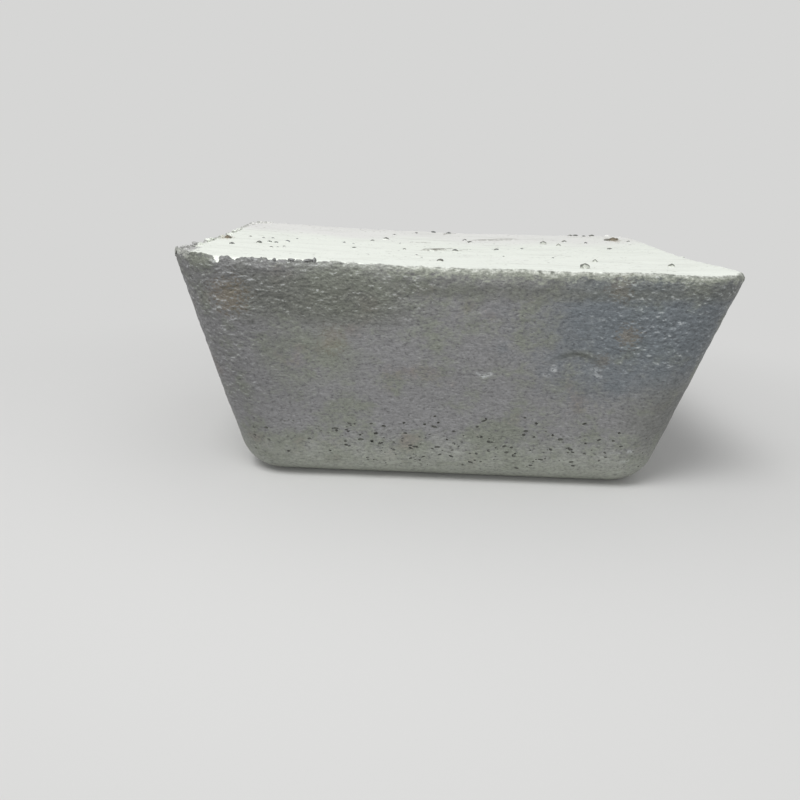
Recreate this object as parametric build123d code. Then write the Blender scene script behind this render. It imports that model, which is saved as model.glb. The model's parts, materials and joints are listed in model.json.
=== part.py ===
from build123d import *
import math
import os

# A cast metal ingot: a tapered block, poured level in an open mould. It stands on its
# smaller moulded base, and its free surface on top is the widest part.
# Lengths are in millimetres. X runs along the long side, Y through the depth, Z up.
# The origin is the centre of the base.

# The block, as the mould gives it
mouth_length = 600.0       # the mould's open side, before the rim is softened
mouth_depth = 510.0
height = 257.0
wall_draft = 14.0          # degrees that each wall leans outwards on its way up
corner_radius = 58.0       # the four slanting corners between the walls
base_edge_radius = 50.0    # rounding between the walls and the base

# The free surface, as it set
sink_depth = 10.0          # the middle lies this far under the corners, where the metal shrank
rim_radius = 6.0           # rounding where the free surface meets the walls


def wall_profile(plane, mouth_width):
    """Two opposite walls in section, wide at the mouth and drawn in towards the base."""
    with BuildSketch(plane) as profile:
        with Locations((0, height / 2)):
            Trapezoid(mouth_width, height, 90 - wall_draft, rotation=180)
    return profile.sketch


def moulded_block():
    """The block that fills the mould, with its slanting corners and its base edge rounded."""
    with BuildPart() as block:
        extrude(wall_profile(Plane.XZ, mouth_length), amount=mouth_depth / 2, both=True)
        extrude(
            wall_profile(Plane.YZ, mouth_depth),
            amount=mouth_length / 2,
            both=True,
            mode=Mode.INTERSECT,
        )
        slanting = block.edges().filter_by(lambda edge: abs(edge.tangent_at(0.5).Z) > 0.5)
        fillet(slanting, corner_radius)
        fillet(block.faces().sort_by(Axis.Z)[0].edges(), base_edge_radius)
    return block.part


def sunk_surface():
    """A ball that grazes the four top corners and dips to the sink depth in the middle."""
    corner_reach = corner_radius + math.hypot(
        mouth_length / 2 - corner_radius,
        mouth_depth / 2 - corner_radius,
    )
    ball_radius = (corner_reach**2 + sink_depth**2) / (2 * sink_depth)
    ball_centre = height - sink_depth + ball_radius
    # turned on its side, so that neither pole of the ball lies in the surface
    return Pos(0, 0, ball_centre) * Rot(90, 0, 0) * Sphere(ball_radius)


def ingot():
    """The finished casting, with its sunk top and softened rim."""
    casting = moulded_block() - sunk_surface()
    free_surface = casting.faces().sort_by(Axis.Z)[-1]
    return fillet(free_surface.edges(), rim_radius)


os.makedirs("parts", exist_ok=True)
export_step(ingot(), "parts/ingot.step")
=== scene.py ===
import json
import math
import random

import bpy
import numpy as np
from bpy.props import (
    FloatProperty,
    FloatVectorProperty,
    IntProperty,
    PointerProperty,
)
from mathutils import Matrix, Vector

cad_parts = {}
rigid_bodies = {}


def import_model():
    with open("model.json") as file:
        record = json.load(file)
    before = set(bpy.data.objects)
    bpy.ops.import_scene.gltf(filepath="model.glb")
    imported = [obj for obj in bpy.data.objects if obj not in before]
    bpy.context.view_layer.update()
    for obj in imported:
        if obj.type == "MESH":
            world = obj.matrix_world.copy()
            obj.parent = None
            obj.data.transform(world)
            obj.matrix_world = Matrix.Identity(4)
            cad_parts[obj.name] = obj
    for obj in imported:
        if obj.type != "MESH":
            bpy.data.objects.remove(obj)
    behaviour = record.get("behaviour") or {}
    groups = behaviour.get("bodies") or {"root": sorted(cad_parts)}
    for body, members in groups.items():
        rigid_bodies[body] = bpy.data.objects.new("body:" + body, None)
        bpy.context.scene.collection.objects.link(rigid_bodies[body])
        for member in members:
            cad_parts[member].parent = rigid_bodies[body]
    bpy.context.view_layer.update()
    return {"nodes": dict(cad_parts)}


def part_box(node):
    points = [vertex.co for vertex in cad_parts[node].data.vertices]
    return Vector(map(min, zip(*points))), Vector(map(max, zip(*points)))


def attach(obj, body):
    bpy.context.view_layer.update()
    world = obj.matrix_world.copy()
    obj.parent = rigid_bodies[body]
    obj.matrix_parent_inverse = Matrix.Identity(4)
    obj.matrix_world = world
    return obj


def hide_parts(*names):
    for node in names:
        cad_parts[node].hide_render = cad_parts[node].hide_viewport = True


bl_info = {
    "name": "Cast Metal Ingot",
    "version": (1, 0, 0),
    "blender": (4, 5, 0),
    "location": "3D View > Sidebar > Ingot",
    "description": "Builds a cast metal ingot with its rough skin, and a plain stage for it",
    "category": "Add Mesh",
}

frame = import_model()

NODE = "ingot"
BODY = "root"

# Squeezes that make a pattern's patches wider than high: plain level ones, and scaly ones
LEVEL = (1.0, 1.0, 2.0)
SCALY = (1.0, 1.0, 1.4)
# Flattens a point on to the level plane, or on to the front
ON_PLAN = (1, 1, 0)
ON_FRONT = (1, 0, 1)
WRINKLE_SIZE = 0.0075
SENSOR_WIDTH = 36.0
FLOOR_SIZE = 40

# Open blisters on the top: X, Y and radius
BLISTERS = (
    (0.139, -0.173, 0.0052), (0.166, -0.101, 0.0034), (0.240, -0.151, 0.0040),
    (0.142, 0.125, 0.0046), (0.160, 0.103, 0.0034),
)
# Dark crumbs of dross on the top: X, Y and half their width
DROSS = (
    (-0.265, -0.086, 0.0026), (-0.265, 0.031, 0.0018), (-0.246, 0.023, 0.0018),
    (-0.240, -0.044, 0.0028), (-0.231, -0.020, 0.0026), (-0.222, -0.022, 0.0024),
    (-0.235, 0.031, 0.0016), (-0.218, -0.086, 0.0020), (-0.211, -0.080, 0.0012),
    (-0.205, -0.069, 0.0014), (-0.211, 0.001, 0.0026), (-0.205, 0.052, 0.0013),
    (-0.140, 0.037, 0.0016), (-0.127, 0.024, 0.0015), (-0.122, -0.034, 0.0024),
    (-0.104, 0.083, 0.0022), (-0.086, 0.115, 0.0036), (-0.065, 0.066, 0.0016),
    (-0.059, -0.012, 0.0017), (-0.075, 0.181, 0.0020), (-0.041, 0.219, 0.0018),
    (-0.018, -0.141, 0.0030), (-0.044, -0.081, 0.0016), (-0.038, -0.103, 0.0012),
    (0.007, -0.002, 0.0028), (0.030, 0.149, 0.0028), (0.035, 0.121, 0.0030),
    (0.064, 0.031, 0.0026), (0.063, -0.060, 0.0015), (0.100, 0.045, 0.0019),
    (0.178, 0.156, 0.0028), (0.203, 0.240, 0.0030), (0.212, 0.243, 0.0032),
    (0.223, 0.234, 0.0022), (0.237, 0.240, 0.0036), (0.207, 0.142, 0.0022),
    (0.248, 0.184, 0.0038), (0.275, 0.163, 0.0022), (0.225, 0.070, 0.0028),
    (0.124, -0.058, 0.0013), (0.010, 0.234, 0.0036), (-0.014, 0.243, 0.0030),
)
# Larger dark lumps on the top and along its rim: X, Y and their three radii
LUMPS = (
    (0.258, 0.188, (0.0065, 0.006, 0.0040)), (0.264, 0.190, (0.0035, 0.004, 0.0030)),
    (-0.286, -0.011, (0.004, 0.006, 0.0035)), (-0.283, -0.016, (0.003, 0.003, 0.0025)),
    (-0.188, -0.2505, (0.0020, 0.003, 0.0017)), (-0.171, -0.2507, (0.0040, 0.003, 0.0014)),
    (-0.154, -0.2507, (0.0052, 0.003, 0.0016)), (-0.148, -0.2503, (0.0023, 0.002, 0.0037)),
)
# The pale fin on the front left corner: X, Y and its three radii
FIN = (-0.2965, -0.209, (0.0016, 0.0045, 0.0055))
# Cold folds in the top's skin: both ends, half the width and strength
FOLDS = (
    ((-0.030, -0.012, 0.0), (-0.010, -0.001, 0.0), 0.0100, 1.0),
    ((-0.003, 0.014, 0.0), (0.003, 0.026, 0.0), 0.0040, 0.7),
    ((0.007, -0.002, 0.0), (0.028, 0.022, 0.0), 0.0030, 0.7),
    ((0.046, 0.150, 0.0), (0.060, 0.156, 0.0), 0.0100, 0.60),
    ((0.062, 0.162, 0.0), (0.100, 0.172, 0.0), 0.0140, 0.45),
    ((-0.050, 0.087, 0.0), (-0.024, 0.096, 0.0), 0.0028, 0.7),
    ((0.003, 0.225, 0.0), (0.022, 0.232, 0.0), 0.0040, 0.8),
)
# The clearest pits in the front wall: X and height
CLEAR_PITS = (
    (-0.205, 0.064), (-0.181, 0.035), (-0.134, 0.038), (-0.116, 0.046), (-0.113, 0.064),
    (-0.100, 0.060), (-0.083, 0.062), (-0.074, 0.072), (-0.052, 0.077), (-0.043, 0.045),
    (-0.032, 0.029), (-0.029, 0.076), (-0.014, 0.079), (-0.003, 0.058), (0.004, 0.069),
    (0.035, 0.063), (0.044, 0.057), (0.062, 0.052), (0.070, 0.051), (0.075, 0.043),
    (0.082, 0.068), (0.094, 0.083), (0.114, 0.069), (0.123, 0.064), (0.139, 0.048),
    (0.147, 0.085), (0.152, 0.060), (0.166, 0.065), (0.187, 0.075),
)
# The crescent dent in the front wall: its middle and upper edge, and how wide and bowed it is
DENT_X, DENT_TOP = 0.128, 0.168
DENT_HALF_WIDTH, DENT_ARCH = 0.026, 0.009
# Patches of colour: place, and reach each way
MOSS_UPPER = ((-0.120, -0.245, 0.225), (0.085, 0.15, 0.045))
MOSS_LOWER = ((-0.155, -0.235, 0.150), (0.075, 0.15, 0.045))
SLATE_PATCH = ((0.200, -0.240, 0.196), (0.175, 0.15, 0.105))
SLATE_BELOW = ((0.140, -0.228, 0.135), (0.075, 0.06, 0.035))
DARK_RIM = ((-0.14, -0.245, 0.215), (0.14, 0.15, 0.042))
# Painted shade on the front wall's right corner, which turns away from the light
SHADED_SIDE = ((0.24, -0.20, 0.095), (0.075, 0.15, 0.06))
STAINED_TOP = ((0.000, 0.110, 0.250), (0.110, 0.080, 0.05))
BARE_CORNER = ((-0.302, -0.215, 0.255), (0.026, 0.085, 0.05))
# Rusty spots: place, reach and strength. The last two lie on the top
RUST_SPOTS = (
    ((0.176, -0.238, 0.189), 0.012, 0.28),
    ((0.155, -0.231, 0.160), 0.009, 0.18),
    ((0.160, -0.251, 0.240), 0.014, 0.15),
    ((-0.235, -0.240, 0.217), 0.020, 0.30),
    ((-0.130, -0.235, 0.172), 0.016, 0.15),
    ((0.258, 0.188, 0.255), 0.011, 0.50),
    ((-0.287, -0.011, 0.254), 0.009, 0.55),
)
# Bright scuffs on the front wall, seen from the front: both ends, half the width, strength
SCUFFS = (
    ((0.022, 0.0, 0.141), (0.031, 0.0, 0.137), 0.0017, 0.7),
    ((0.031, 0.0, 0.137), (0.038, 0.0, 0.140), 0.0026, 0.8),
    ((0.103, 0.0, 0.153), (0.106, 0.0, 0.152), 0.0022, 0.5),
    ((0.103, 0.0, 0.148), (0.106, 0.0, 0.147), 0.0026, 0.7),
    ((0.095, 0.0, 0.142), (0.099, 0.0, 0.141), 0.0026, 0.45),
    ((0.144, 0.0, 0.150), (0.150, 0.0, 0.151), 0.0018, 0.4),
    ((0.150, 0.0, 0.148), (0.154, 0.0, 0.148), 0.0026, 0.55),
    ((0.150, 0.0, 0.143), (0.155, 0.0, 0.142), 0.0024, 0.6),
    ((0.182, 0.0, 0.048), (0.192, 0.0, 0.049), 0.0014, 0.4),
    ((0.201, 0.0, 0.051), (0.206, 0.0, 0.051), 0.0024, 0.6),
    ((0.196, 0.0, 0.037), (0.204, 0.0, 0.039), 0.0018, 0.45),
)
# Where the pale top runs over the front left lip: X, half the width and how far down
DRIPS = ((-0.2455, 0.0060, 0.0080), (-0.2275, 0.0070, 0.0035))
# The torn lip's two ends along X
LIP_START, LIP_END = -0.292, -0.1945


def shade(red, green, blue):
    """A screen colour, 0 to 255 a channel, as the linear numbers that a shader takes."""
    def linear(level):
        level /= 255
        return level / 12.92 if level <= 0.04045 else ((level + 0.055) / 1.055) ** 2.4
    return linear(red), linear(green), linear(blue)


def length(name, default, description):
    """A size in metres that a user can change."""
    return FloatProperty(
        name=name, description=description, default=default,
        min=0.0, precision=4, subtype="DISTANCE", unit="LENGTH",
    )


def colour(name, default, description):
    """A colour that a user can change."""
    return FloatVectorProperty(
        name=name, description=description, default=shade(*default),
        size=3, min=0.0, max=1.0, subtype="COLOR",
    )


class IngotSizes(bpy.types.PropertyGroup):
    """Sizes of the casting's form and of the relief on its skin."""
    wall_draft: FloatProperty(
        name="Wall draft", description="How far each wall leans outwards on its way up",
        default=math.radians(14), subtype="ANGLE", unit="ROTATION",
    )
    corner_radius: length("Corner radius", 0.058, "Rounding of the four slanting corners")
    base_radius: length("Base radius", 0.050, "Rounding between the walls and the base")
    sink_depth: length("Sink depth", 0.010, "How far the top's middle lies under its corners")
    grid: length("Skin grid", 0.0021, "Spacing of the points that the skin is shaped with")
    triangles: IntProperty(
        name="Skin triangles", description="Triangles that the skin keeps before it is pitted",
        default=132000, min=1000,
    )
    rim_band: length("Rim band", 0.018, "How far the crumbly skin reaches down from the rim")
    swell: length("Swell", 0.0016, "Height of the broad unevenness of walls and top")
    lumps: length("Lumps", 0.0012, "Height of the lumps a few centimetres across")
    ripples: length("Ripples", 0.0012, "Height of the short level ripples on the walls")
    scales: length("Scales", 0.0009, "Height of the scaly wrinkles near the rim and corner")
    crumble: length("Crumble", 0.0012, "Height of the crumbly skin along the rim")
    lip: length("Lip", 0.0045, "Height of the torn lip on the rim's left")
    brim: length("Brim", 0.0042, "How far the rim puffs up in front")
    dent: length("Dent", 0.0025, "Depth of the crescent dent in the front wall")
    pits: IntProperty(
        name="Pits", description="Small gas pits in the front wall; the others have two thirds",
        default=140, min=0,
    )
    crumbs: IntProperty(
        name="Crumbs", description="Loose crumbs of dross stuck to the rim", default=90, min=0,
    )


class IngotColours(bpy.types.PropertyGroup):
    """Colours of the casting."""
    wall: colour("Wall", (125, 125, 126), "The walls' plain grey")
    moss: colour("Moss grey", (118, 122, 111), "The greenish cast over parts of the walls")
    slate: colour("Slate", (101, 108, 113), "The dark blue-grey patches near the rim")
    umber: colour("Umber", (120, 110, 105), "The brown cast in faint patches")
    # Painted shade under the rim, at the right corner and along the dent, and the dark grey of
    # dross, of a patch near the left rim and of paler pits
    shade_and_dark_grey: colour("Band under the rim", (100, 102, 95), "The dark band just under the rim")
    crumbs: colour("Crumbs", (144, 148, 136), "The pale crumbs at the rim")
    # Lighter partly because the strip is smoother and partly as painted light low on the walls
    foot: colour("Foot", (140, 143, 134), "The smoother strip above the base")
    pore: colour("Pore", (76, 76, 76), "The dark pores between the grains of the skin")
    # Also the colour of painted highlights on the wrinkles, and of the bright scuffs
    highlight_and_scuff: colour("Fleck", (190, 193, 194), "Bright flecks on the walls")
    top: colour("Top", (237, 241, 233), "The chalky free surface")
    top_far: colour("Top, greyer", (230, 230, 227), "The greyer cast over parts of the top")
    top_stain: colour("Top stain", (120, 117, 108), "Folds and stains on the top")
    rust: colour("Rust", (136, 117, 84), "The few rusty spots")
    pit: colour("Pit", (88, 89, 85), "The inside of the pits")


class IngotStage(bpy.types.PropertyGroup):
    """The floor, the light and the camera."""
    floor: colour("Floor", (214, 214, 213), "The plain floor")
    eye: FloatVectorProperty(
        name="Camera place", description="Where the camera stands, from the base's centre",
        default=(-0.0587, -1.0537, 0.3466), size=3, subtype="TRANSLATION", unit="LENGTH",
    )
    heading: FloatProperty(
        name="Heading", description="Way that the photograph looks, turned left from +Y",
        default=math.radians(8.98), subtype="ANGLE", unit="ROTATION",
    )
    tilt: FloatProperty(
        name="Tilt", description="How far the photograph looks down",
        default=math.radians(22.47), subtype="ANGLE", unit="ROTATION",
    )
    roll: FloatProperty(
        name="Roll", description="How far the photograph leans to the right",
        default=math.radians(0.45), subtype="ANGLE", unit="ROTATION",
    )
    lens: FloatProperty(
        name="Lens", description="Focal length on a 36 mm sensor, in millimetres",
        default=36.0, min=1.0,
    )
    off_centre: FloatVectorProperty(
        name="Off centre", description="Where the ingot shows, right of and above the middle",
        default=(0.056, 0.075), size=2,
    )
    lamp: FloatProperty(name="High lamp", description="Power of the high lamp", default=82.0)
    low_lamp: FloatProperty(name="Low lamp", description="Power of the low lamp", default=38.0)
    sky: FloatProperty(name="Sky", description="Strength of the light all round", default=0.54)
    near_floor: length("Near floor", 0.36, "How far out the floor still shows its shading")
    far_floor: length("Far floor", 1.0, "How far out the floor has become its plain colour")


class Wiring:
    """Adds nodes to one tree. Each value is a number, a colour or another node's output."""

    def __init__(self, tree):
        self.tree = tree

    def node(self, kind, values=None, **settings):
        made = self.tree.nodes.new(kind)
        for name, setting in settings.items():
            setattr(made, name, setting)
        for socket, value in (values or {}).items():
            self.plug(made.inputs[socket], value)
        return made

    def plug(self, socket, value):
        if isinstance(value, bpy.types.NodeSocket):
            self.tree.links.new(value, socket)
        elif socket.type == "RGBA" and len(value) == 3:
            socket.default_value = (*value, 1.0)
        else:
            socket.default_value = value

    def calc(self, operation, *values):
        return self.node(
            "ShaderNodeMath", dict(enumerate(values)), operation=operation
        ).outputs[0]

    def vector(self, operation, *values):
        made = self.node("ShaderNodeVectorMath", dict(enumerate(values)), operation=operation)
        return made.outputs[1] if operation in ("LENGTH", "DISTANCE") else made.outputs[0]

    def split(self, point):
        return self.node("ShaderNodeSeparateXYZ", {0: point}).outputs

    def ramp(self, value, low, high, start=0.0, end=1.0):
        """Goes smoothly from start to end while the value goes from low to high."""
        return self.node(
            "ShaderNodeMapRange",
            {0: value, 1: low, 2: high, 3: start, 4: end},
            interpolation_type="SMOOTHSTEP",
        ).outputs[0]

    def fade(self, value, low, high):
        """Falls smoothly from 1 to 0 while the value goes from low to high."""
        return self.ramp(value, low, high, 1.0, 0.0)

    def swing(self, noise, reach):
        """Noise as a swing about 0, as far as the reach."""
        return self.product(self.calc("SUBTRACT", noise, 0.5), 2 * reach)

    def near(self, value, centre, reach):
        """1 at the centre, falling smoothly to 0 at the reach on both sides."""
        away = self.calc("ABSOLUTE", self.calc("SUBTRACT", value, centre))
        return self.fade(away, 0.0, reach)

    def noise(
        self, point, size, detail=2.0, roughness=0.5, squeeze=(1, 1, 1), shift=0.0, lift=0.0
    ):
        """Cloudy noise round 0.5, with clouds about as large as the size."""
        placed = self.vector("ADD", point, (shift, shift, shift + lift))
        placed = self.vector("MULTIPLY", placed, squeeze)
        return self.node(
            "ShaderNodeTexNoise",
            {"Vector": placed, "Scale": 1 / size, "Detail": detail, "Roughness": roughness},
        ).outputs[0]

    def cells(self, point, size, squeeze=(1, 1, 1)):
        """Distance to the nearest of many scattered points, as a share of their spacing."""
        placed = self.vector("MULTIPLY", point, squeeze)
        return self.node("ShaderNodeTexVoronoi", {"Vector": placed, "Scale": 1 / size}).outputs[0]

    def spot(self, point, centre, reach, ragged=0.0, core=0.5):
        """A patch round a place: 1 in its middle and 0 outside, ragged where noise is given."""
        offset = self.vector("DIVIDE", self.vector("SUBTRACT", point, centre), reach)
        distance = self.calc("ADD", self.vector("LENGTH", offset), ragged)
        return self.fade(distance, core, 1.0)

    def stroke(self, point, start, end, half_width, ragged=0.0):
        """A short straight mark between two places, 1 along its middle."""
        run = Vector(end) - Vector(start)
        offset = self.vector("SUBTRACT", point, start)
        share = self.node(
            "ShaderNodeMath",
            {0: self.node(
                "ShaderNodeVectorMath", {0: offset, 1: run}, operation="DOT_PRODUCT"
            ).outputs[1], 1: 1 / run.length_squared},
            operation="MULTIPLY", use_clamp=True,
        ).outputs[0]
        away = self.calc("ADD", self.vector("DISTANCE", offset, self.scale(run, share)), ragged)
        return self.fade(away, half_width * 0.3, half_width)

    def chain(self, operation, values):
        found = values[0]
        for value in values[1:]:
            found = self.calc(operation, found, value)
        return found

    def most(self, *values):
        """The largest of several values."""
        return self.chain("MAXIMUM", values)

    def product(self, *values):
        return self.chain("MULTIPLY", values)

    def total(self, *values):
        return self.chain("ADD", values)

    def scale(self, vector, factor):
        return self.node(
            "ShaderNodeVectorMath", {0: vector, "Scale": factor}, operation="SCALE"
        ).outputs[0]

    def tint(self, factor, under, over):
        """Lays a colour over another as strongly as the factor says."""
        return self.node(
            "ShaderNodeMix", {0: factor, 6: under, 7: over}, data_type="RGBA"
        ).outputs[2]


def blank_tree(owner):
    """Empties the nodes of a material or a world and readies them for wiring."""
    owner.use_nodes = True
    owner.node_tree.nodes.clear()
    return Wiring(owner.node_tree)


def frayed_x(wire, point, x):
    """X made ragged, for the torn lip's right end and the sides of its drips."""
    return wire.total(x, wire.swing(wire.noise(point, 0.005, detail=3), 0.0025))


def deselect_all():
    for thing in bpy.context.selected_objects:
        thing.select_set(False)


def make_active(thing):
    deselect_all()
    thing.select_set(True)
    bpy.context.view_layer.objects.active = thing


def select_part(thing, kind, wanted):
    """Selects the faces or edges of a mesh for which wanted() says yes."""
    bpy.ops.object.mode_set(mode="EDIT")
    bpy.ops.mesh.select_mode(type=kind)
    bpy.ops.mesh.select_all(action="DESELECT")
    bpy.ops.object.mode_set(mode="OBJECT")
    parts = thing.data.polygons if kind == "FACE" else thing.data.edges
    for part in parts:
        part.select = bool(wanted(part))
    bpy.ops.object.mode_set(mode="EDIT")


def finish_modifier(thing, name, kind, **settings):
    """Adds a modifier and applies it at once."""
    modifier = thing.modifiers.new(name, kind)
    for setting, value in settings.items():
        setattr(modifier, setting, value)
    make_active(thing)
    bpy.ops.object.modifier_apply(modifier=name)


def rough_block(sizes):
    """The tapered block with rounded corners, from a cube of the ingot's outer size."""
    low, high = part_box(NODE)
    size = high - low
    deselect_all()
    bpy.ops.mesh.primitive_cube_add(size=1, location=(low + high) / 2, scale=size)
    block = bpy.context.object
    block.name = "ingot_casting"
    bpy.ops.object.transform_apply(location=True, rotation=True, scale=True)

    def faces_down(face):
        return face.normal.z < -0.9

    drawn_in = 2 * size.z * math.tan(sizes.wall_draft)
    select_part(block, "FACE", faces_down)
    bpy.ops.transform.resize(value=(1 - drawn_in / size.x, 1 - drawn_in / size.y, 1))
    bpy.ops.object.mode_set(mode="OBJECT")

    def upright(edge):
        a, b = (block.data.vertices[i].co for i in edge.vertices)
        return abs(a.z - b.z) > size.z / 2

    def at_base(edge):
        return all(block.data.vertices[i].co.z < low.z + 0.001 for i in edge.vertices)

    select_part(block, "EDGE", upright)
    bpy.ops.mesh.bevel(offset=sizes.corner_radius, segments=8, affect="EDGES")
    bpy.ops.object.mode_set(mode="OBJECT")
    select_part(block, "EDGE", at_base)
    wall_to_base = math.radians(90) + sizes.wall_draft
    bevel_width = sizes.base_radius / math.tan(wall_to_base / 2)
    bpy.ops.mesh.bevel(offset=bevel_width, segments=6, affect="EDGES")
    bpy.ops.object.mode_set(mode="OBJECT")
    return block


def points_of(mesh):
    flat = np.empty(len(mesh.vertices) * 3, np.float32)
    mesh.vertices.foreach_get("co", flat)
    return flat.reshape(-1, 3)


def surface_height(x, y, sizes):
    """Height of the sunk top over the base, before it gets its relief."""
    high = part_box(NODE)[1]
    corner_reach = sizes.corner_radius + math.hypot(
        high.x - sizes.corner_radius, high.y - sizes.corner_radius
    )
    return high.z - sizes.sink_depth * (1 - (x**2 + y**2) / corner_reach**2)


def rim_distance(point, sizes):
    """Each point's way to the rim, along the skin: above 0 on the top, below 0 on the walls."""
    high = np.array(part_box(NODE)[1])
    beyond = np.abs(point[:, :2]) - (high[:2] - sizes.corner_radius)
    outward = np.hypot(*np.maximum(beyond, 0).T) + np.minimum(beyond.max(1), 0)
    inland = sizes.corner_radius - outward
    down = surface_height(point[:, 0], point[:, 1], sizes) - point[:, 2]
    along_wall = math.tan(sizes.wall_draft) + 1 / math.cos(sizes.wall_draft)
    return inland - down * along_wall


def store_rim_distance(mesh, sizes):
    """Stores the distance to the rim where a point has none yet."""
    stored = mesh.attributes.get("rim_side") or mesh.attributes.new("rim_side", "FLOAT", "POINT")
    known = np.zeros(len(mesh.vertices), np.float32)
    stored.data.foreach_get("value", known)
    measured = rim_distance(points_of(mesh), sizes).astype(np.float32)
    stored.data.foreach_set("value", np.where(known == 0, measured, known))


def refine_rim(casting, sizes):
    """Splits the faces of the rim, so that they can hold crumbs."""
    side = rim_distance(points_of(casting.data), sizes)
    fine = (side > -sizes.rim_band) & (side < sizes.rim_band / 3)
    select_part(casting, "FACE", lambda face: fine[face.vertices[0]])
    bpy.ops.mesh.subdivide(number_cuts=1)
    bpy.ops.object.mode_set(mode="OBJECT")


def relief_tree(sizes):
    """Geometry nodes that push the smooth block's skin into the cast one."""
    tree = bpy.data.node_groups.new("cast_relief", "GeometryNodeTree")
    for way in ("INPUT", "OUTPUT"):
        tree.interface.new_socket("Geometry", in_out=way, socket_type="NodeSocketGeometry")
    wire = Wiring(tree)
    given = wire.node("NodeGroupInput").outputs[0]
    point = wire.node("GeometryNodeInputPosition").outputs[0]
    normal = wire.node("GeometryNodeInputNormal").outputs[0]
    x, y, z = wire.split(point)
    up = wire.split(normal)[2]
    side = wire.node(
        "GeometryNodeInputNamedAttribute", {"Name": "rim_side"}, data_type="FLOAT"
    ).outputs[0]

    # All skin but the flat base swells and is lumpy. Walls also get ripples and scaly wrinkles
    off_base = wire.ramp(z, 0.002, 0.020)
    on_wall = wire.fade(up, 0.3, 0.8)
    in_front = wire.fade(y, -0.20, -0.12)
    swell = wire.swing(wire.noise(point, 0.17), sizes.swell)
    lumps = wire.swing(wire.noise(point, 0.045, detail=3), sizes.lumps)
    ripple = wire.swing(wire.noise(point, 0.016, squeeze=LEVEL, detail=4), sizes.ripples)
    left_corner = wire.product(wire.fade(x, -0.30, -0.14), wire.ramp(z, 0.03, 0.08))
    rough = wire.most(left_corner, wire.ramp(z, 0.12, 0.20), 0.35)
    scales = wire.swing(wire.noise(point, 0.0125, squeeze=SCALY, shift=6.0), sizes.scales)
    scaly = wire.product(
        wire.most(left_corner, wire.ramp(z, 0.19, 0.22)), wire.ramp(side, -0.004, -0.012)
    )

    # Large and small crumbs in a band under the rim, in patches
    crumb_band = wire.product(
        wire.ramp(side, -sizes.rim_band, -0.002), wire.fade(side, 0.0, 0.004)
    )
    big = wire.fade(wire.cells(point, 0.009), 0.05, 0.55)
    small = wire.fade(wire.cells(point, 0.0042), 0.05, 0.60)
    patchy = wire.ramp(wire.noise(point, 0.030, shift=3.0), 0.35, 0.65, 0.2, 1.0)
    crumbs = wire.product(
        wire.total(wire.product(big, 0.6), wire.product(small, 0.4)),
        crumb_band, patchy, sizes.crumble,
    )

    # The dent is deepest just under its bowed upper edge
    sunk_x = wire.calc("DIVIDE", wire.calc("SUBTRACT", x, DENT_X), DENT_HALF_WIDTH)
    arch = wire.calc("SUBTRACT", DENT_TOP, wire.product(sunk_x, sunk_x, DENT_ARCH))
    below = wire.calc("SUBTRACT", arch, z)
    dent = wire.product(
        wire.ramp(below, -0.001, 0.004), wire.fade(below, 0.004, 0.034),
        wire.near(sunk_x, 0.0, 1.5), in_front, -sizes.dent,
    )

    flat = wire.vector("MULTIPLY", point, ON_PLAN)
    wobble = wire.swing(wire.noise(point, 0.012, shift=8.0), 0.003)
    folds = [
        wire.product(
            wire.stroke(flat, start, end, half_width, wobble),
            min(half_width, 0.006) * 0.4, strength,
        )
        for start, end, half_width, strength in FOLDS
    ]
    on_top = wire.ramp(up, 0.8, 0.9)

    push = wire.product(
        off_base,
        wire.total(
            swell, lumps, wire.product(ripple, rough, on_wall), wire.product(scales, scaly),
            crumbs, dent, wire.product(wire.most(*folds), on_top),
        ),
    )
    outward = wire.scale(normal, push)

    # The torn lip on the front left with gaps where the drips run, and the puffed brim
    x_frayed = frayed_x(wire, point, x)
    lip = wire.product(
        wire.ramp(x, LIP_START, LIP_START + 0.010),
        wire.fade(x_frayed, LIP_END - 0.0015, LIP_END),
        in_front, wire.near(side, -0.0015, 0.0045),
        wire.ramp(wire.noise(point, 0.008, detail=3, squeeze=(1, 0, 0)), 0.35, 0.65, 0.55, 1.0),
    )
    for drip_x, half_width, _ in DRIPS:
        beside = wire.calc("SUBTRACT", 1.0, wire.near(x_frayed, drip_x, half_width))
        lip = wire.product(lip, beside)
    brim = wire.product(
        wire.near(side, 0.0, 0.022), wire.ramp(x, -0.215, -0.180), wire.fade(x, 0.17, 0.26),
        wire.ramp(wire.noise(point, 0.035, detail=3, squeeze=(1, 0, 0)), 0.35, 0.65, 0.65, 1.0),
        in_front, sizes.brim,
    )
    on_left = wire.fade(x, -0.285, -0.265)
    ragged = wire.ramp(wire.noise(point, 0.010, detail=3, squeeze=(0.3, 1, 0)), 0.42, 0.62)
    torn = wire.product(wire.near(side, -0.001, 0.0055), on_left, ragged)
    rise = wire.total(wire.product(wire.most(lip, torn), sizes.lip), brim)
    lift = wire.node("ShaderNodeCombineXYZ", {2: rise}).outputs[0]

    offset = wire.vector("ADD", outward, lift)
    moved = wire.node("GeometryNodeSetPosition", {"Geometry": given, "Offset": offset})
    wire.node("NodeGroupOutput", {0: moved.outputs[0]})
    return tree


def wall_place(wall, along, height, sizes):
    """Axes on a wall: X along it, Z up it and Y into the metal. Wall 0 is the front."""
    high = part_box(NODE)[1]
    half = high.x if wall % 2 else high.y
    half -= (high.z - height) * math.tan(sizes.wall_draft)
    return (
        Matrix.Rotation(wall * math.pi / 2, 4, "Z")
        @ Matrix.Translation((along, -half, height))
        @ Matrix.Rotation(sizes.wall_draft, 4, "X")
    )


def top_place(x, y, sizes):
    """Axes on the top, level, with Z up."""
    return Matrix.Translation((x, y, surface_height(x, y, sizes)))


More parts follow.
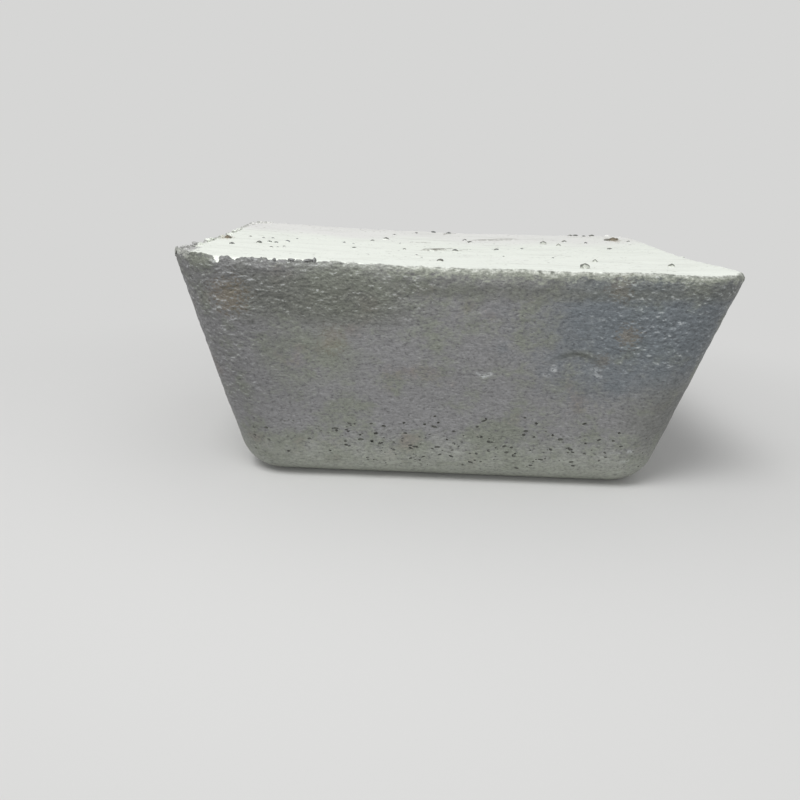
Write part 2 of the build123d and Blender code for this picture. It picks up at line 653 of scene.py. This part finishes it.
def set_on_skin(casting, place, inward):
    """Moves axes along their inward way until they lie on the casting's finished skin."""
    reach = 0.02
    way = (place.to_3x3() @ Vector(inward)).normalized()
    start = place.translation - way * reach
    hit, spot, _, _ = casting.ray_cast(start, way, distance=2 * reach)
    moved = place.copy()
    if hit:
        moved.translation = spot
    return moved


def on_top_skin(casting, x, y, sizes):
    """Level axes on the finished skin of the top."""
    return set_on_skin(casting, top_place(x, y, sizes), (0, 0, -1))


def stretched(*radii):
    return Matrix.Diagonal((*radii, 1))


def rough_ball(seed, uneven):
    """One small ball of 80 faces, radius 1, knocked out of round."""
    deselect_all()
    bpy.ops.mesh.primitive_ico_sphere_add(subdivisions=2, radius=1)
    ball = bpy.context.object
    bpy.ops.object.mode_set(mode="EDIT")
    bpy.ops.transform.vertex_random(offset=uneven, seed=seed)
    bpy.ops.object.mode_set(mode="OBJECT")
    return ball


def ball_cloud(name, places, seed, uneven):
    """Copies of a few rough balls, one at each place, joined into one mesh."""
    balls = [rough_ball(seed + turn, uneven) for turn in range(3)]
    copies = []
    for order, place in enumerate(places):
        copy = balls[order % len(balls)].copy()
        copy.data = copy.data.copy()
        copy.data.transform(place)
        bpy.context.collection.objects.link(copy)
        copies.append(copy)
    deselect_all()
    for copy in copies:
        copy.select_set(True)
    bpy.context.view_layer.objects.active = copies[0]
    bpy.ops.object.join()
    cloud = bpy.context.object
    cloud.name = name
    for ball in balls:
        bpy.data.objects.remove(ball)
    return cloud


def pit_places(casting, sizes):
    """Where the gas pits are: the clearest in their own places, the rest at random.

    The open mouths of the blisters are cut with them.
    """
    chance = random.Random(11)

    def in_wall(wall, along, height):
        return set_on_skin(casting, wall_place(wall, along, height, sizes), (0, 1, 0))

    def turned(radii):
        return (
            Matrix.Rotation(chance.uniform(-0.5, 0.5), 4, "Y")
            @ stretched(*radii)
            @ Matrix.Rotation(chance.uniform(0, 6.3), 4, (1, 2, 3))
        )

    for along, height in CLEAR_PITS:
        size = chance.uniform(0.0012, 0.0018)
        radii = (size * chance.uniform(1.1, 1.9), 0.0022, size * chance.uniform(0.8, 1.1))
        yield in_wall(0, along, height) @ turned(radii)
    for wall in range(4):
        reach = 0.22 if wall % 2 == 0 else 0.17
        count = sizes.pits if wall == 0 else sizes.pits * 2 // 3
        for _ in range(count):
            along = min(max(chance.gauss(0.0, 0.13), -reach), reach)
            height = chance.triangular(0.016, 0.092, 0.048)
            size = 0.0006 + 0.0010 * chance.random() ** 2
            radii = (size * chance.uniform(1.1, 2.4), size * 1.2, size * chance.uniform(0.8, 1.1))
            yield in_wall(wall, along, height) @ turned(radii)
    for x, y, radius in BLISTERS:
        mouth = Matrix.Translation((radius * 0.1, -radius * 1.1, radius * 0.35))
        yield on_top_skin(casting, x, y, sizes) @ mouth @ stretched(*[radius * 0.34] * 3)


def crumb_places(casting, sizes):
    """Where crumbs of dross stick to the rim: most on the left and at the back left.

    The pale middles of the blisters and the fin are added with them.
    """
    chance = random.Random(5)
    point = points_of(casting.data)
    side = rim_distance(point, sizes)
    rim = point[(side > -0.004) & (side < 0.006) & (point[:, 1] > -0.20)]
    left = rim[(rim[:, 0] < -0.27) | ((rim[:, 0] < -0.20) & (rim[:, 1] > 0.1))]
    for order in range(sizes.crumbs):
        spots = rim if order % 8 == 0 else left
        spot = spots[chance.randrange(len(spots))]
        size = 0.0014 + 0.0024 * chance.random() ** 1.5
        flat = chance.uniform(0.4, 0.8)
        shape = stretched(size * chance.uniform(0.9, 1.8), size, size * flat)
        turn = Matrix.Rotation(chance.uniform(0, 6.3), 4, "Z")
        yield Matrix.Translation(Vector(spot.tolist())) @ turn @ shape
    for x, y, radius in BLISTERS:
        inner = Matrix.Translation((0, -radius * 0.40, 0))
        shape = stretched(radius * 0.66, radius * 0.78, radius * 0.54)
        yield top_place(x, y, sizes) @ inner @ shape
    x, y, radii = FIN
    yield on_top_skin(casting, x, y, sizes) @ stretched(*radii)


def dross_places(casting, sizes):
    """Where dark dross lies on the top and hangs on its rim, and the blisters' domes."""
    chance = random.Random(8)
    for x, y, half_width in DROSS:
        radii = (half_width * 1.35, half_width, half_width * chance.uniform(0.60, 0.85))
        turn = Matrix.Rotation(chance.uniform(-0.6, 0.6), 4, "Z")
        yield on_top_skin(casting, x, y, sizes) @ turn @ stretched(*radii)
    for x, y, radii in LUMPS:
        yield on_top_skin(casting, x, y, sizes) @ stretched(*radii)
    for x, y, radius in BLISTERS:
        yield top_place(x, y, sizes) @ stretched(radius, radius, radius * 0.95)


def cast_metal(colours):
    """The casting's own material: chalky on top, dull grey metal on the walls."""
    material = bpy.data.materials.new("cast_metal_skin")
    wire = blank_tree(material)
    point = wire.node("ShaderNodeTexCoord").outputs["Object"]
    side = wire.node("ShaderNodeAttribute", attribute_name="rim_side").outputs["Fac"]
    x, y, z = wire.split(point)

    fine = wire.noise(point, 0.0040, detail=4, roughness=0.65, squeeze=(1, 1, 1.6))
    coarse = wire.noise(point, 0.011, detail=4, roughness=0.6, squeeze=LEVEL)
    cloud = wire.noise(point, 0.038, detail=5, roughness=0.65)
    wide = wire.noise(point, 0.150, detail=3, shift=4.0)
    in_front = wire.fade(y, -0.15, -0.05)
    behind = wire.calc("SUBTRACT", 1.0, in_front)

    # Wrinkles, lit on their upper and dark on their lower sides, strongest in scaly places
    wrinkle = wire.noise(point, WRINKLE_SIZE, detail=3, squeeze=SCALY)
    above = wire.noise(point, WRINKLE_SIZE, detail=3, squeeze=SCALY, lift=0.0013)
    ledge = wire.calc("SUBTRACT", wrinkle, above)
    left_corner = wire.product(wire.fade(x, -0.27, -0.17), wire.ramp(z, 0.05, 0.11))
    left_rim = wire.product(wire.fade(x, -0.09, 0.03), wire.ramp(z, 0.180, 0.215))
    right_side = wire.product(wire.ramp(x, 0.08, 0.20), wire.ramp(z, 0.125, 0.175))
    elsewhere = wire.product(wire.ramp(wide, 0.46, 0.58), wire.ramp(z, 0.05, 0.12))
    scaly = wire.most(
        wire.product(wire.most(left_corner, left_rim, right_side), in_front),
        wire.product(elsewhere, behind), 0.22,
    )

    mottle = wire.total(cloud, wire.swing(fine, 0.16), wire.swing(coarse, 0.10))
    mossy = wire.most(
        wire.spot(point, *MOSS_UPPER, wire.swing(mottle, 1.0), 0.3),
        wire.spot(point, *MOSS_LOWER, wire.swing(mottle, 1.0), 0.3),
        wire.product(wire.near(z, 0.045, 0.050), 0.8),
    )
    mossy = wire.total(mottle, wire.product(mossy, in_front, 0.14), wire.product(in_front, -0.05))
    wall = wire.tint(wire.product(wire.ramp(mossy, 0.42, 0.64), 0.8), colours.wall, colours.moss)
    brown = wire.total(wire.noise(point, 0.045, detail=4, shift=7.0), wire.swing(fine, 0.14))
    wall = wire.tint(wire.product(wire.ramp(brown, 0.58, 0.74), 0.5), wall, colours.umber)

    slate_front = wire.product(
        in_front, wire.spot(point, *SLATE_PATCH, wire.swing(mottle, 0.7), core=0.25)
    )
    slate_wide = wire.product(wire.fade(wide, 0.34, 0.50), wire.ramp(z, 0.09, 0.20))
    slate = wire.most(slate_front, wire.product(slate_wide, behind))
    wall = wire.tint(wire.product(slate, 0.85), wall, colours.slate)

    # The lighter foot is partly its own smoother skin and partly painted light
    foot = wire.fade(wire.total(z, wire.swing(cloud, 0.05)), 0.0, 0.065)
    wall = wire.tint(wire.product(foot, 0.9), wall, colours.foot)

    # Pale crumbs hang from the rim, partly painted light where the rounded rim turns up, with a
    # band of painted shade below them where it turns away
    crusty = wire.product(
        wire.ramp(wire.noise(point, 0.11, detail=2, shift=1.0), 0.40, 0.52), behind
    )
    crusty = wire.most(crusty, wire.product(wire.ramp(x, -0.12, -0.04), in_front))
    # Painted shade: the dark band under the rim
    under = wire.near(wire.total(side, wire.swing(coarse, 0.010)), -0.021, 0.015)
    under = wire.product(under, wire.total(wire.product(crusty, 0.45), 0.15))
    dark_rim = wire.spot(point, *DARK_RIM, wire.swing(mottle, 0.8), 0.3)
    # Painted shade on the right corner
    shaded_side = wire.spot(point, *SHADED_SIDE, wire.swing(mottle, 0.8), 0.2)
    under = wire.most(under, wire.product(dark_rim, 0.75), wire.product(shaded_side, 0.5))
    wall = wire.tint(under, wall, colours.shade_and_dark_grey)
    crumb_edge = wire.total(side, wire.swing(coarse, 0.012), wire.swing(fine, 0.010))
    pale = wire.product(
        wire.ramp(crumb_edge, -0.014, -0.004), wire.total(wire.product(crusty, 0.70), 0.1)
    )
    wall = wire.tint(pale, wall, colours.crumbs)
    left_end = wire.fade(x, -0.285, -0.270)
    dusted = wire.product(
        wire.ramp(crumb_edge, -0.006, 0.0), wire.most(wire.product(crusty, 0.25), left_end)
    )
    wall = wire.tint(wire.product(dusted, 0.7), wall, colours.top_far)

    for place, reach, strength in RUST_SPOTS:
        rust = wire.spot(point, place, (reach, 0.03, reach), wire.swing(fine, 2.6))
        wall = wire.tint(wire.product(rust, strength), wall, colours.rust)

    # Pores, specks and the dent's painted shadow, then the grain's own light and shade, painted
    # light low on the walls, painted shade at the left corner and painted highlights on the
    # wrinkles
    pores = wire.product(
        wire.fade(fine, 0.32, 0.43), wire.ramp(side, -0.018, -0.006, 0.45, 0.2)
    )
    wall = wire.tint(pores, wall, colours.pore)
    speck = wire.product(
        wire.fade(wire.cells(point, 0.0095, squeeze=(1, 1, 1.5)), 0.12, 0.25),
        wire.ramp(wire.noise(point, 0.020, shift=11.0), 0.45, 0.54),
        wire.near(z, 0.055, 0.045),
    )
    wall = wire.tint(wire.product(speck, 0.65), wall, colours.pit)
    # A painted shadow along the dent's bowed upper edge
    bow = wire.calc("DIVIDE", wire.calc("SUBTRACT", x, DENT_X), DENT_HALF_WIDTH)
    bow = wire.total(
        wire.product(bow, bow, DENT_ARCH), z, 0.001 - DENT_TOP, wire.swing(coarse, 0.003)
    )
    dent_shadow = wire.product(wire.near(bow, 0.0, 0.008), wire.near(x, DENT_X, 0.036), in_front)
    wall = wire.tint(wire.product(dent_shadow, 0.65), wall, colours.shade_and_dark_grey)
    cool = wire.spot(point, *SLATE_BELOW, wire.swing(mottle, 0.8), core=0.2)
    wall = wire.tint(wire.product(cool, 0.3), wall, colours.slate)
    grain_light = wire.ramp(wire.total(fine, wire.swing(coarse, 0.15)), 0.30, 0.70, 0.82, 1.18)
    ledge_light = wire.calc("ADD", 1.0, wire.product(ledge, scaly, 1.7))
    # Painted light: the walls lighter towards the base. Painted shade: darker towards the front's
    # left corner
    lower = wire.ramp(z, 0.0, 0.12, 1.34, 1.065)
    shaded_corner = wire.product(wire.fade(x, -0.25, -0.10), in_front)
    painted_light_and_shade = wire.product(lower, wire.ramp(shaded_corner, 0.0, 1.0, 1.0, 0.83))
    wall = wire.scale(wall, wire.product(grain_light, ledge_light, painted_light_and_shade))
    # Painted highlights: bright flecks on the lit upper sides of the wrinkles
    highlight_and_scuff = wire.product(
        wire.ramp(wire.total(ledge, wire.swing(fine, 0.25)), 0.065, 0.180),
        wire.ramp(coarse, 0.40, 0.56), wire.ramp(scaly, 0.1, 1.0, 0.15, 1.0),
    )
    wall = wire.tint(wire.product(highlight_and_scuff, 0.55), wall, colours.highlight_and_scuff)
    seen_in_front = wire.vector("MULTIPLY", point, ON_FRONT)
    for start, end, half_width, strength in SCUFFS:
        scuff = wire.stroke(seen_in_front, start, end, half_width * 1.5, wire.swing(fine, 0.007))
        scuff = wire.product(scuff, wire.ramp(fine, 0.40, 0.56), in_front, strength)
        wall = wire.tint(scuff, wall, colours.highlight_and_scuff)

    # The chalky top: greyer towards the back, with stains, pepper, folds and rust
    greyer = wire.total(
        wire.ramp(y, 0.02, 0.20), wire.swing(wire.noise(point, 0.14, detail=3, shift=9.0), 0.8)
    )
    top = wire.tint(wire.ramp(greyer, 0.1, 1.1), colours.top, colours.top_far)
    streak = wire.noise(point, 0.030, detail=5, roughness=0.65, squeeze=(0.25, 1, 1), shift=2.0)
    stained = wire.spot(point, *STAINED_TOP, core=0.1)
    top = wire.tint(
        wire.product(wire.ramp(streak, 0.48, 0.66), wire.total(wire.product(stained, 0.38), 0.11)),
        top, colours.top_stain,
    )
    pepper = wire.product(
        wire.ramp(wire.noise(point, 0.006, detail=3, shift=5.0), 0.60, 0.72),
        wire.ramp(wire.noise(point, 0.060, detail=3, shift=6.0), 0.40, 0.62, 0.1, 0.6),
    )
    top = wire.tint(pepper, top, colours.top_stain)
    flat = wire.vector("MULTIPLY", point, ON_PLAN)
    for start, end, half_width, strength in FOLDS:
        ragged = wire.total(wire.swing(coarse, 0.004 + half_width), wire.swing(fine, half_width))
        fold = wire.stroke(flat, start, end, half_width, ragged)
        fold = wire.product(fold, wire.ramp(coarse, 0.36, 0.54, 0.35, 1.10), strength)
        top = wire.tint(fold, top, colours.top_stain)
    for place, reach, strength in RUST_SPOTS[-2:]:
        rust = wire.spot(point, place, (reach, 0.03, reach), wire.swing(fine, 2.0))
        top = wire.tint(wire.product(rust, strength), top, colours.rust)

    # The pale top ends in a clean line on the front left, and in crumbs elsewhere
    clean = wire.product(wire.fade(x, -0.17, -0.11), in_front)
    frayed = wire.ramp(clean, 0.0, 1.0, 1.0, 0.15)
    fray = wire.total(wire.swing(coarse, 0.005), wire.swing(fine, 0.007))
    edge = wire.total(side, wire.product(frayed, fray), -0.001)
    bare_corner = wire.spot(point, *BARE_CORNER, wire.swing(coarse, 0.8))
    edge = wire.total(edge, wire.product(bare_corner, -0.05))
    x_frayed = frayed_x(wire, point, x)
    for drip_x, half_width, reach in DRIPS:
        drip = wire.product(
            wire.near(x_frayed, drip_x, half_width), wire.ramp(fine, 0.35, 0.60, 0.6, 1.1), in_front
        )
        edge = wire.total(edge, wire.product(drip, reach))
    on_top = wire.ramp(edge, wire.product(frayed, -0.0035), wire.product(frayed, 0.0045))
    skin = wire.tint(on_top, wall, top)

    # The torn left rim and the blisters are a greyer crust than the top round them
    crust = wire.product(
        wire.near(side, -0.001, 0.011), wire.fade(x, -0.275, -0.235),
        wire.ramp(wire.total(coarse, wire.swing(fine, 0.3)), 0.42, 0.60), 0.6,
    )
    for place_x, place_y, radius in BLISTERS:
        away = wire.vector("DISTANCE", flat, (place_x, place_y, 0.0))
        away = wire.total(away, wire.swing(fine, 0.003))
        crust = wire.most(crust, wire.ramp(away, radius * 0.9, radius * 1.3, 0.55, 0.0))
    skin = wire.tint(crust, skin, colours.crumbs)

    grain = wire.total(
        wire.product(wrinkle, scaly, 0.0011),
        wire.product(fine, 0.0010),
        wire.product(wire.noise(point, 0.0015, detail=2, squeeze=LEVEL), 0.0004),
    )
    grain = wire.product(
        grain, wire.ramp(on_top, 0.0, 1.0, 1.0, 0.25), wire.ramp(z, 0.010, 0.050, 0.5, 1.0)
    )
    bump = wire.node("ShaderNodeBump", {"Height": grain, "Distance": 1.0, "Strength": 1.0})
    dull = wire.total(wire.product(coarse, 0.25), wire.ramp(on_top, 0.0, 1.0, 0.38, 0.55))
    shader = wire.node(
        "ShaderNodeBsdfPrincipled",
        {
            "Base Color": skin,
            "Metallic": wire.ramp(on_top, 0.0, 1.0, 0.45, 0.05),
            "Roughness": dull,
            "Normal": bump.outputs[0],
        },
    )
    wire.node("ShaderNodeOutputMaterial", {0: shader.outputs[0]})
    return material


def dark_pit_inside(colours):
    """The dark, dull inside of a pit."""
    material = bpy.data.materials.new("dark_pit_inside")
    wire = blank_tree(material)
    point = wire.node("ShaderNodeTexCoord").outputs["Object"]
    paler = wire.ramp(wire.noise(point, 0.006), 0.40, 0.65, 0.1, 0.9)
    pit_tone = wire.tint(paler, colours.pit, colours.shade_and_dark_grey)
    shader = wire.node("ShaderNodeBsdfPrincipled", {"Base Color": pit_tone, "Roughness": 0.85})
    wire.node("ShaderNodeOutputMaterial", {0: shader.outputs[0]})
    return material


def merge(casting, cloud, operation, sizes, side=None):
    """Cuts a cloud of balls out of the casting, or fuses it on, and removes the cloud.

    A side below 0 gives the cloud the wall's looks wherever it lies.
    """
    if side is not None:
        stored = cloud.data.attributes.new("rim_side", "FLOAT", "POINT")
        stored.data.foreach_set("value", np.full(len(cloud.data.vertices), side, np.float32))
    store_rim_distance(cloud.data, sizes)
    finish_modifier(
        casting, "merge", "BOOLEAN", operation=operation, object=cloud,
        solver="MANIFOLD", material_mode="TRANSFER",
    )
    bpy.data.objects.remove(cloud)
    store_rim_distance(casting.data, sizes)


def drop_loose_bits(casting):
    """Removes crumbs that touch nothing and pits that never broke the skin."""
    make_active(casting)
    lowest = min(casting.data.polygons, key=lambda face: face.center.z).index
    select_part(casting, "FACE", lambda face: face.index == lowest)
    bpy.ops.mesh.select_linked()
    bpy.ops.mesh.select_all(action="INVERT")
    bpy.ops.mesh.delete(type="VERT")
    bpy.ops.object.mode_set(mode="OBJECT")


class INGOT_OT_add_casting(bpy.types.Operator):
    """Adds the casting: a tapered block with a rough skin, a crumbly rim and gas pits"""
    bl_idname = "ingot.add_casting"
    bl_label = "Add casting"

    def execute(self, context):
        sizes = context.scene.ingot_sizes
        colours = context.scene.ingot_colours
        casting = rough_block(sizes)
        grid = sizes.grid * 1
        finish_modifier(casting, "skin", "REMESH", mode="VOXEL", voxel_size=grid)
        finish_modifier(
            casting, "fit", "SHRINKWRAP",
            target=frame["nodes"][NODE], wrap_method="NEAREST_SURFACEPOINT",
        )
        refine_rim(casting, sizes)
        store_rim_distance(casting.data, sizes)
        finish_modifier(casting, "relief", "NODES", node_group=relief_tree(sizes))
        triangles = sum(len(face.vertices) - 2 for face in casting.data.polygons)
        if triangles > sizes.triangles:
            finish_modifier(casting, "thin", "DECIMATE", ratio=sizes.triangles / triangles)
        casting.data.materials.append(cast_metal(colours))

        crumbs = ball_cloud("crumbs", crumb_places(casting, sizes), seed=3, uneven=0.40)
        crumbs.data.materials.append(casting.data.materials[0])
        merge(casting, crumbs, "UNION", sizes)
        dross = ball_cloud("dross", dross_places(casting, sizes), seed=21, uneven=0.34)
        dross.data.materials.append(casting.data.materials[0])
        merge(casting, dross, "UNION", sizes, side=-sizes.rim_band)
        pits = ball_cloud("pits", pit_places(casting, sizes), seed=7, uneven=0.22)
        pits.data.materials.append(dark_pit_inside(colours))
        merge(casting, pits, "DIFFERENCE", sizes)
        drop_loose_bits(casting)

        bpy.ops.object.shade_smooth_by_angle(angle=math.radians(50))
        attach(casting, BODY)
        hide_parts(NODE)
        return {"FINISHED"}


def add_lamp(name, place, target, size, power):
    deselect_all()
    bpy.ops.object.light_add(type="AREA", location=place)
    lamp = bpy.context.object
    lamp.name = name
    lamp.data.size = size
    lamp.data.energy = power
    lamp.rotation_euler = (Vector(target) - Vector(place)).to_track_quat("-Z", "Y").to_euler()


def add_camera(stage):
    """The photograph's camera, turned by the shortest way until the ingot's middle shows where the
    off-centre setting puts it.
    """
    low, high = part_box(NODE)
    deselect_all()
    bpy.ops.object.camera_add(location=stage.eye)
    camera = bpy.context.object
    camera.name = "camera"
    camera.data.sensor_width = SENSOR_WIDTH
    camera.data.lens = stage.lens
    camera.data.clip_start = 0.01
    photo_turn = (
        Matrix.Rotation(stage.heading, 3, "Z")
        @ Matrix.Rotation(math.radians(90) - stage.tilt, 3, "X")
        @ Matrix.Rotation(-stage.roll, 3, "Z")
    )
    looks = photo_turn @ Vector((*stage.off_centre, -1))
    wanted = (low + high) / 2 - Vector(stage.eye)
    camera.rotation_euler = (
        looks.rotation_difference(wanted).to_matrix() @ photo_turn
    ).to_euler()
    bpy.context.scene.camera = camera


def floor_material(stage):
    """A pale matt floor that passes into its own plain colour farther out, with no horizon."""
    material = bpy.data.materials.new("plain_floor")
    wire = blank_tree(material)
    point = wire.node("ShaderNodeTexCoord").outputs["Object"]
    away = wire.vector("LENGTH", point)
    matt = wire.node("ShaderNodeBsdfDiffuse", {"Color": stage.floor}).outputs[0]
    plain = wire.node("ShaderNodeEmission", {"Color": stage.floor, "Strength": 1.0}).outputs[0]
    far = wire.product(wire.ramp(away, stage.near_floor, stage.far_floor), seen_directly(wire))
    mixed = wire.node("ShaderNodeMixShader", {0: far, 1: matt, 2: plain}).outputs[0]
    wire.node("ShaderNodeOutputMaterial", {0: mixed})
    return material


def seen_directly(wire):
    """1 where the camera looks, straight or in a reflection or through glass, and else 0."""
    path = wire.node("ShaderNodeLightPath").outputs
    return wire.most(
        path["Is Camera Ray"], path["Is Glossy Ray"], path["Is Transmission Ray"]
    )


def light_world(stage):
    """An even white light all round, in which the camera sees the floor's own colour."""
    world = bpy.data.worlds.new("studio")
    bpy.context.scene.world = world
    wire = blank_tree(world)
    path = wire.node("ShaderNodeLightPath").outputs
    light = wire.node("ShaderNodeBackground", {"Color": (1, 1, 1), "Strength": stage.sky})
    backdrop = wire.node("ShaderNodeBackground", {"Color": stage.floor, "Strength": 1.0})
    seen = wire.most(path["Is Camera Ray"], path["Is Transmission Ray"])
    mixed = wire.node(
        "ShaderNodeMixShader", {0: seen, 1: light.outputs[0], 2: backdrop.outputs[0]}
    )
    wire.node("ShaderNodeOutputWorld", {0: mixed.outputs[0]})


class INGOT_OT_add_stage(bpy.types.Operator):
    """Adds the pale floor, the soft light and the camera"""
    bl_idname = "ingot.add_stage"
    bl_label = "Add stage"

    def execute(self, context):
        stage = context.scene.ingot_stage
        deselect_all()
        bpy.ops.mesh.primitive_plane_add(size=FLOOR_SIZE, location=(0, 0, 0))
        floor = bpy.context.object
        floor.name = "floor"
        floor.data.materials.append(floor_material(stage))
        add_lamp(
            "high_lamp", place=(-1.0, -2.0, 3.2), target=(0, 0, 0.15), size=1.6, power=stage.lamp
        )
        add_lamp(
            "low_lamp", place=(-0.45, -3.5, 0.6), target=(0, -0.2, 0.1), size=2.0,
            power=stage.low_lamp,
        )
        light_world(stage)
        add_camera(stage)
        context.scene.view_settings.view_transform = "Standard"
        return {"FINISHED"}


class INGOT_PT_sidebar(bpy.types.Panel):
    """Lists the ingot's operators and settings in the 3D view's sidebar"""
    bl_label = "Cast metal ingot"
    bl_idname = "INGOT_PT_sidebar"
    bl_space_type = "VIEW_3D"
    bl_region_type = "UI"
    bl_category = "Ingot"

    def draw(self, context):
        layout = self.layout
        for operator, settings in (
            (INGOT_OT_add_casting, (context.scene.ingot_sizes, context.scene.ingot_colours)),
            (INGOT_OT_add_stage, (context.scene.ingot_stage,)),
        ):
            layout.operator(operator.bl_idname)
            for group in settings:
                for name in group.__annotations__:
                    layout.prop(group, name)


CLASSES = (
    IngotSizes,
    IngotColours,
    IngotStage,
    INGOT_OT_add_casting,
    INGOT_OT_add_stage,
    INGOT_PT_sidebar,
)


def register():
    for made in CLASSES:
        bpy.utils.register_class(made)
    bpy.types.Scene.ingot_sizes = PointerProperty(type=IngotSizes)
    bpy.types.Scene.ingot_colours = PointerProperty(type=IngotColours)
    bpy.types.Scene.ingot_stage = PointerProperty(type=IngotStage)


def unregister():
    del bpy.types.Scene.ingot_stage
    del bpy.types.Scene.ingot_colours
    del bpy.types.Scene.ingot_sizes
    for made in reversed(CLASSES):
        bpy.utils.unregister_class(made)


def main():
    register()
    bpy.ops.ingot.add_casting()
    bpy.ops.ingot.add_stage()


if __name__ == "__main__":
    main()
